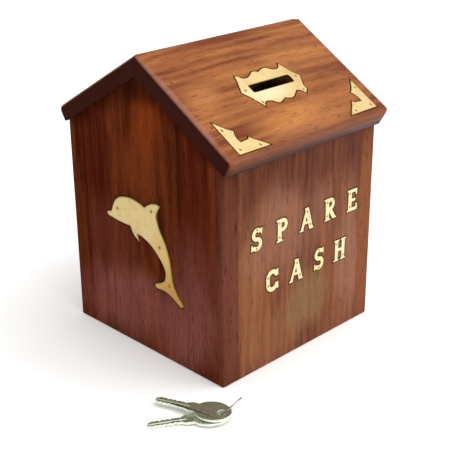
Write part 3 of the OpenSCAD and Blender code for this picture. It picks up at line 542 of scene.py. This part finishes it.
def tips(node, out):
    """The middle of each pin's outer end, in metres."""
    shape = bmesh.new()
    shape.from_mesh(frame["nodes"][node].data)
    bmesh.ops.remove_doubles(shape, verts=shape.verts, dist=2e-6)
    left, found = set(shape.verts), []
    while left:
        island, front = set(), [next(iter(left))]
        while front:
            vertex = front.pop()
            if vertex not in island:
                island.add(vertex)
                front.extend(e.other_vert(vertex) for e in vertex.link_edges)
        left -= island
        high = max(v.co.dot(out) for v in island)
        ring = [v.co for v in island if v.co.dot(out) > high - 1e-5]
        found.append(sum(ring, Vector()) / len(ring))
    shape.free()
    return sorted(found, key=lambda p: (round(p.x, 4), round(p.z, 4)))


def tree_with(name, sockets):
    """An empty geometry tree with a geometry input and output and the named inputs."""
    tree = bpy.data.node_groups.new(name, "GeometryNodeTree")
    tree.interface.new_socket("Geometry", in_out="INPUT", socket_type="NodeSocketGeometry")
    for label, kind in sockets.items():
        tree.interface.new_socket(label, in_out="INPUT", socket_type=kind)
    tree.interface.new_socket("Geometry", in_out="OUTPUT", socket_type="NodeSocketGeometry")
    return tree, add(tree, "NodeGroupInput").outputs


def grown(name, points, tree, values, body, like=()):
    """A plain mesh of what the tree sets on the points, riding on its body. It stands for the CAD
    nodes in like."""
    mesh = bpy.data.meshes.new(name)
    mesh.from_pydata([tuple(p) for p in points], [], [])
    piece = bpy.data.objects.new(name, mesh)
    bpy.context.collection.objects.link(piece)
    maker = piece.modifiers.new("made", "NODES")
    maker.node_group = tree
    for item in tree.interface.items_tree:
        if item.in_out == "INPUT" and item.name in values:
            maker[item.identifier] = values[item.name]
    finished = piece.evaluated_get(bpy.context.evaluated_depsgraph_get())
    made = bpy.data.meshes.new_from_object(finished)
    piece.modifiers.clear()
    piece.data = made
    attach(piece, body)
    if like:
        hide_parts(*like)


def on_each(tree, given, parts):
    """Ends a tree: its parts stand together on every point, facing Out, real and of one metal."""
    whole = add(tree, "GeometryNodeJoinGeometry")
    for part in parts:
        tree.links.new(part.outputs[0], whole.inputs[0])
    points = add(tree, "GeometryNodeMeshToPoints", {"Mesh": given["Geometry"]})
    facing = add(tree, "FunctionNodeAlignRotationToVector", {"Vector": given["Out"]}, axis="Z")
    each = add(tree, "GeometryNodeInstanceOnPoints", {
        "Points": points.outputs[0], "Instance": whole.outputs[0], "Rotation": facing.outputs[0]})
    real = add(tree, "GeometryNodeRealizeInstances", {"Geometry": each.outputs[0]})
    painted = add(tree, "GeometryNodeSetMaterial", {
        "Geometry": real.outputs[0], "Material": given["Metal"]})
    add(tree, "NodeGroupOutput", {"Geometry": painted.outputs[0]})
    return tree


def pin_tree():
    """A squashed ball on each point, its flat way along Out, over a wire that runs into the wood."""
    tree, given = tree_with("inlay pins", {
        "Radius": "NodeSocketFloat", "Rise": "NodeSocketFloat", "Length": "NodeSocketFloat",
        "Out": "NodeSocketVector", "Metal": "NodeSocketMaterial"})
    ball = add(tree, "GeometryNodeMeshUVSphere", {
        "Segments": 14, "Rings": 8, "Radius": given["Radius"]})
    share = add(tree, "ShaderNodeMath", {0: given["Rise"], 1: given["Radius"]}, operation="DIVIDE")
    low = add(tree, "ShaderNodeCombineXYZ", {0: 1.0, 1: 1.0, 2: share.outputs[0]})
    head = add(tree, "GeometryNodeTransform", {"Geometry": ball.outputs[0], "Scale": low.outputs[0]})
    wire = add(tree, "GeometryNodeMeshCylinder", {
        "Vertices": 14, "Radius": given["Radius"], "Depth": given["Length"]})
    down = add(tree, "ShaderNodeMath", {0: given["Length"], 1: -0.5}, operation="MULTIPLY")
    drop = add(tree, "ShaderNodeCombineXYZ", {2: down.outputs[0]})
    shank = add(tree, "GeometryNodeTransform", {
        "Geometry": wire.outputs[0], "Translation": drop.outputs[0]})
    return on_each(tree, given, (head, shank))


pins = pin_tree()
pin_brass = brass("filed brass wire", "b08d4c", "7c5a2c", 0.4, rim="b08d4c")
for node, out in (
        ("roof_plate_pins", roof_up), ("dolphin_pins", gable_out), ("letter_pins", front_out)):
    grown(node + "_piece", tips(node, out), pins, {
        "Radius": 0.00045, "Rise": 0.00012, "Length": 0.0069, "Out": out, "Metal": pin_brass},
        "house", [node])


# ---- Nails ----
# Bright wire nails, 1.4 mm thick, punched below the surface. Each hole is stopped with a lump of
# brown wax that is wiped off flush.

def steel(name, colour, spotted, shine):
    """Drawn or pressed steel with a thin zinc skin: grey, cloudy, softly shining."""
    material, tree, place = started(name)
    cloud = add(tree, "ShaderNodeTexNoise", {"Vector": place, "Scale": 1 / 0.003, "Detail": 4})
    scuffs = add(tree, "ShaderNodeTexNoise", {"Vector": place, "Scale": 1 / 0.0006, "Detail": 3})
    patch = add(tree, "ShaderNodeMapRange", {
        "Value": cloud.outputs["Fac"], "From Min": 0.4, "From Max": 0.68},
        interpolation_type="SMOOTHSTEP")
    tone = add(tree, "ShaderNodeMix", {
        0: patch.outputs[0], 6: hexed(colour), 7: hexed(spotted)}, data_type="RGBA")
    rough = add(tree, "ShaderNodeMapRange", {
        "Value": scuffs.outputs["Fac"], "From Min": 0.3, "From Max": 0.7,
        "To Min": shine - 0.07, "To Max": shine + 0.1})
    relief = add(tree, "ShaderNodeBump", {
        "Height": scuffs.outputs["Fac"], "Strength": 0.15, "Distance": 0.0002})
    skin = add(tree, "ShaderNodeBsdfPrincipled", {
        "Base Color": tone.outputs[2], "Metallic": 1.0, "Roughness": rough.outputs[0],
        "Normal": relief.outputs[0]})
    add(tree, "ShaderNodeOutputMaterial", {"Surface": skin.outputs[0]})
    return material


nail_steel = steel("bright nail wire", "a8aaab", "6c6e70", 0.4)
for node in ("wall_pins", "roof_pins", "base_pins"):
    coated(node, nail_steel)
wax = lac("brown stopping wax", "4a2313", "6a3820")


nail_sunk = 0.00115  # from a nail's head to the board's surface
rear_up = Vector((0, sin(pitch), cos(pitch)))
for name, node, out in (
        ("gable_left_wax", "wall_pins", gable_out), ("gable_right_wax", "wall_pins", -gable_out),
        ("roof_front_wax", "roof_pins", roof_up), ("roof_rear_wax", "roof_pins", rear_up),
        ("front_wax", "base_pins", front_out), ("back_wax", "base_pins", -front_out)):
    heads = [p for p in tips(node, out) if p.x * out.x + p.y * out.y > 0]
    grown(name, [p + out * nail_sunk for p in heads], pins, {
        "Radius": 0.00068, "Rise": 0.0001, "Length": 0.001, "Out": out, "Metal": wax},
        "house")


# ---- Door ----
# One sheesham board that fills the back's opening, hung on two butt hinges and held by a cam lock.
# It is planed and varnished like the walls, and the edges round its outer face are sanded soft.

def door_edge(middle, one, other):
    """The outer face's edges are softer than the inner ones."""
    return 0.8 if middle.y > 63 and one.angle(other, 0) > 1.2 else 0.3


door_wood = sheesham(
    "varnished sheesham of the door", "a45e34", "5e2c16", "2c1209", seed=6, gloss=0.06)
eased("door", door_edge, door_wood)


# ---- Butt hinges ----
# Pressed from 1 mm brass strip, the knuckles rolled round a steel pin. Rolling and tumbling leave
# the brass bright and yellow with rounded edges.

hinge_brass = brass("pressed brass", "d9b36a", "a67c3a", 0.26, (0, 1, 0), "b8924c")
for place in ("upper", "lower"):
    for leaf in ("frame_leaf", "door_leaf"):
        eased(f"hinge_{place}_{leaf}", lambda middle, one, other: 0.15, hinge_brass, steps=2)
    eased(f"hinge_{place}_pin", lambda middle, one, other: 0.3, hinge_brass, steps=3)


# ---- Hinge screws ----
# Slotted countersunk screws turned from brass rod. They sit just below the leaf's face and hold it
# to the stile or the door. Turning and the driver leave them bright, with a dark sawn slot.

def screw_tree():
    """A countersunk head with a sawn slot, a shank, and one thread wound down it."""
    tree, given = tree_with("countersunk screws", {
        "Head": "NodeSocketFloat", "Shank": "NodeSocketFloat", "Length": "NodeSocketFloat",
        "Slot": "NodeSocketFloat", "Out": "NodeSocketVector", "Metal": "NodeSocketMaterial"})
    flare = add(tree, "ShaderNodeMath", {0: given["Head"], 1: given["Shank"]}, operation="SUBTRACT")
    sink = add(tree, "ShaderNodeMath", {0: flare.outputs[0], 1: -1.0}, operation="MULTIPLY")
    seat = add(tree, "ShaderNodeCombineXYZ", {2: sink.outputs[0]})
    cone = add(tree, "GeometryNodeMeshCone", {
        "Vertices": 28, "Radius Top": given["Head"], "Radius Bottom": given["Shank"],
        "Depth": flare.outputs[0]})
    cone_at = add(tree, "GeometryNodeTransform", {
        "Geometry": cone.outputs[0], "Translation": seat.outputs[0]})
    blade = add(tree, "ShaderNodeMath", {0: given["Head"], 1: 2.4}, operation="MULTIPLY")
    size = add(tree, "ShaderNodeCombineXYZ", {
        0: blade.outputs[0], 1: given["Slot"], 2: given["Slot"]})
    bar = add(tree, "GeometryNodeMeshCube", {"Size": size.outputs[0]})
    cut = add(tree, "GeometryNodeMeshBoolean", {
        "Mesh 1": cone_at.outputs[0], "Mesh 2": bar.outputs[0]}, operation="DIFFERENCE")
    rod = add(tree, "GeometryNodeMeshCylinder", {
        "Vertices": 20, "Radius": given["Shank"], "Depth": given["Length"]})
    half = add(tree, "ShaderNodeMath", {
        0: given["Length"], 1: -0.5, 2: sink.outputs[0]}, operation="MULTIPLY_ADD")
    under = add(tree, "ShaderNodeCombineXYZ", {2: half.outputs[0]})
    rod_at = add(tree, "GeometryNodeTransform", {
        "Geometry": rod.outputs[0], "Translation": under.outputs[0]})
    coil = add(tree, "GeometryNodeCurveSpiral", {
        "Resolution": 14, "Rotations": 7.0, "Start Radius": given["Shank"],
        "End Radius": given["Shank"], "Height": given["Length"]})
    ridge = add(tree, "GeometryNodeCurvePrimitiveCircle", {
        "Resolution": 4, "Radius": 0.00012}, mode="RADIUS")
    thread = add(tree, "GeometryNodeCurveToMesh", {
        "Curve": coil.outputs[0], "Profile Curve": ridge.outputs[0]})
    foot = add(tree, "ShaderNodeMath", {
        0: given["Length"], 1: -1.0, 2: sink.outputs[0]}, operation="MULTIPLY_ADD")
    lower = add(tree, "ShaderNodeCombineXYZ", {2: foot.outputs[0]})
    thread_at = add(tree, "GeometryNodeTransform", {
        "Geometry": thread.outputs[0], "Translation": lower.outputs[0]})
    return on_each(tree, given, (cut, rod_at, thread_at))


screws = screw_tree()
screw_brass = brass("turned brass", "d2a95c", "97702f", 0.3, (0, 1, 0), "a8813f")
back_out = Vector((0, 1, 0))
head_deep = 0.0008  # what the head takes of the whole length
for node, body in (("hinge_screws_frame", "house"), ("hinge_screws_door", "door")):
    low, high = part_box(node)
    grown(node + "_piece", tips(node, back_out), screws, {
        "Head": 0.0016, "Shank": 0.0009, "Length": high.y - low.y - head_deep, "Slot": 0.0005,
        "Out": back_out, "Metal": screw_brass}, body, [node])


# ---- Cam lock ----
# A zinc die-casting, nickel plated where it shows: a flanged barrel through the door with a
# hexagon nut behind it, and a plug that the key turns, with a bent steel cam screwed on its end.

nickel_plate = steel("bright nickel plate", "d6d2c8", "aaa69c", 0.2)
zinc_plate = steel("zinc plated steel", "b4b6b4", "85888a", 0.36)
eased("lock_body", lambda middle, one, other: 0.6 if middle.y > 64.5 else 0.2, nickel_plate,
      steps=4)
eased("lock_plug", lambda middle, one, other: 0.3 if middle.y > 64 else 0.15, nickel_plate,
      steps=3)
for node in ("lock_nut", "lock_cam", "cam_washer", "cam_screw"):
    eased(node, lambda middle, one, other: 0.25, zinc_plate, steps=2)
coated("lock_wafers", hinge_brass)


# ---- Keys ----
# Two flat keys blanked from 1.6 mm nickel silver sheet, milled along the blade and cut on both
# edges. Handling has worn the plate olive grey on the faces and rubbed the rims bright, and their
# steep side walls carry a painted reflection in the same bright colour.

def worn_nickel(name, face, rim, grime):
    """Old nickel plate on a yellow metal: greyed faces with scratches, bright where it rubs, and a
    painted reflection in the bright rim colour on the steep side walls.
    """
    material, tree, place = started(name)
    cloud = add(tree, "ShaderNodeTexNoise", {
        "Vector": place, "Scale": 1 / 0.0035, "Detail": 5, "Roughness": 0.7})
    scratch = add(tree, "ShaderNodeMapping", {
        "Vector": place, "Rotation": (0, 0, 0.7), "Scale": (1, 0.08, 1)})
    hair = add(tree, "ShaderNodeTexNoise", {
        "Vector": scratch.outputs[0], "Scale": 1 / 0.0004, "Detail": 3})
    dirty = add(tree, "ShaderNodeMapRange", {
        "Value": cloud.outputs["Fac"], "From Min": 0.42, "From Max": 0.66},
        interpolation_type="SMOOTHSTEP")
    tone = add(tree, "ShaderNodeMix", {
        0: dirty.outputs[0], 6: hexed(face), 7: hexed(grime)}, data_type="RGBA")
    bare = add(tree, "ShaderNodeMapRange", {
        "Value": hair.outputs["Fac"], "From Min": 0.58, "From Max": 0.75, "To Max": 0.7})
    tone = add(tree, "ShaderNodeMix", {
        0: bare.outputs[0], 6: tone.outputs[2], 7: hexed(rim)}, data_type="RGBA")
    # painted reflection: the steep side walls take the bright rim colour
    slope = add(tree, "ShaderNodeVectorMath", {
        0: add(tree, "ShaderNodeTexCoord").outputs["Normal"], 1: (0, 0, 1)}, operation="DOT_PRODUCT")
    steep = add(tree, "ShaderNodeMath", {0: slope.outputs["Value"]}, operation="ABSOLUTE")
    edge = add(tree, "ShaderNodeMapRange", {
        "Value": steep.outputs[0], "From Min": 0.97, "From Max": 0.6, "To Max": 0.85})
    tone = add(tree, "ShaderNodeMix", {
        0: edge.outputs[0], 6: tone.outputs[2], 7: hexed(rim)}, data_type="RGBA")
    relief = add(tree, "ShaderNodeBump", {
        "Height": hair.outputs["Fac"], "Strength": 0.2, "Distance": 0.0002})
    rough = add(tree, "ShaderNodeMapRange", {
        "Value": cloud.outputs["Fac"], "From Min": 0.3, "From Max": 0.7,
        "To Min": 0.36, "To Max": 0.56})
    skin = add(tree, "ShaderNodeBsdfPrincipled", {
        "Base Color": tone.outputs[2], "Metallic": 1.0, "Roughness": rough.outputs[0],
        "Normal": relief.outputs[0]})
    add(tree, "ShaderNodeOutputMaterial", {"Surface": skin.outputs[0]})
    return material


key_metal = worn_nickel("worn nickel plate", "d0dcbe", "f8f8ee", "98a486")
for node in ("key_lower", "key_upper"):
    eased(node, lambda middle, one, other: 0.28, key_metal, steps=2)


# ---- Key ring ----
# Spring steel wire, 0.9 mm thick, wound round a mandrel once and a bit more, so that its two cut
# ends lie side by side. The keys are threaded on between them. Drawing leaves it grey and smooth.

ring_joint = next(j for j in frame["joints"] if j["child"] == "key_ring")
ring_centre = Vector(ring_joint["pos_m"])
ring_axis = Vector(ring_joint["axis"]).normalized()
# a hair thinner than the CAD's wire, so that the two ends can lie side by side
wire_radius, ring_radius = 0.00042, 0.007
side = ring_axis.orthogonal().normalized()
ahead = ring_axis.cross(side)


def wire_loop(name, turns, shift, material, across=10, along=132):
    """A round wire wound turns times about the ring's axis, its ends shifted apart along it."""
    shape = bmesh.new()
    rows = []
    for i in range(along + 1):
        t = i / along
        a = 2 * pi * turns * (t - 0.5)
        out = side * cos(a) + ahead * sin(a)
        middle = ring_centre + out * ring_radius + ring_axis * shift * (2 * t - 1) ** 5
        rows.append([shape.verts.new(middle + (out * cos(b) + ring_axis * sin(b)) * wire_radius)
                     for b in (2 * pi * j / across for j in range(across))])
    for one, two in zip(rows, rows[1:]):
        for j in range(across):
            k = (j + 1) % across
            shape.faces.new((one[j], one[k], two[k], two[j])).smooth = True
    shape.faces.new(rows[0])
    shape.faces.new(rows[-1])
    bmesh.ops.recalc_face_normals(shape, faces=shape.faces)
    mesh = bpy.data.meshes.new(name)
    shape.to_mesh(mesh)
    shape.free()
    mesh.materials.append(material)
    piece = bpy.data.objects.new(name, mesh)
    bpy.context.collection.objects.link(piece)
    return piece


ring_steel = steel("spring wire", "b9b9ae", "77776c", 0.3)
ring = wire_loop("key_ring_wire", 1.06, 0.00045, ring_steel)
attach(ring, "key_ring")
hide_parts("key_ring")


# ---- Floor and light ----
# A white table in a pale room, with daylight bounced off the ceiling, a soft box front right and a
# dimmer one overhead. The wall behind the table is lit until it is plain white.

def plain(name, colour):
    """Matt white laminate with the faintest cloud in it, lit a little from below."""
    material, tree, place = started(name)
    cloud = add(tree, "ShaderNodeTexNoise", {"Vector": place, "Scale": 1 / 0.4, "Detail": 2})
    tone = add(tree, "ShaderNodeMix", {
        0: cloud.outputs["Fac"], 6: hexed(colour), 7: hexed("f6f6f5")}, data_type="RGBA")
    skin = add(tree, "ShaderNodeBsdfPrincipled", {
        "Base Color": tone.outputs[2], "Roughness": 0.85, "Specular IOR Level": 0.2,
        "Emission Color": tone.outputs[2], "Emission Strength": 0.14})
    add(tree, "ShaderNodeOutputMaterial", {"Surface": skin.outputs[0]})
    return material


floor_mesh = bpy.data.meshes.new("floor")
floor_mesh.from_pydata([(-4, -4, 0), (4, -4, 0), (4, 4, 0), (-4, 4, 0)], [], [(0, 1, 2, 3)])
floor_mesh.materials.append(plain("white laminate", "fbfbfa"))
floor = bpy.data.objects.new("floor", floor_mesh)
floor.location.z = min(0.0, cad_box[0][2]) - 0.00002
bpy.context.collection.objects.link(floor)

world = bpy.data.worlds.new("pale room")
world.use_nodes = True
world.node_tree.nodes["Background"].inputs["Color"].default_value = hexed("ffffff")
seen = add(world.node_tree, "ShaderNodeLightPath")
bright = add(world.node_tree, "ShaderNodeMapRange", {
    "Value": seen.outputs["Is Camera Ray"], "To Min": 0.6, "To Max": 1.0})
world.node_tree.links.new(bright.outputs[0], world.node_tree.nodes["Background"].inputs["Strength"])
bpy.context.scene.world = world


def soft_box(name, at, aim, size, watts):
    """A square soft light that faces aim."""
    data = bpy.data.lights.new(name, "AREA")
    data.size = size
    data.energy = watts
    lamp = bpy.data.objects.new(name, data)
    lamp.location = at
    lamp.rotation_mode = "QUATERNION"
    lamp.rotation_quaternion = (Vector(aim) - Vector(at)).to_track_quat("-Z", "Y")
    bpy.context.collection.objects.link(lamp)


sky = bpy.data.lights.new("bounced daylight", "SUN")
sky.energy = 1.5
sky.angle = radians(50)
sky_lamp = bpy.data.objects.new("bounced daylight", sky)
sky_lamp.rotation_euler = (radians(20), radians(4), 0)
bpy.context.collection.objects.link(sky_lamp)
soft_box("front right", (0.9, -1.1, 0.7), (0, 0, 0.09), 0.9, 6)
soft_box("overhead right", (0.9, -0.06, 1.2), (0, 0, 0.15), 0.9, 1.2)
bpy.context.scene.view_settings.view_transform = "Standard"
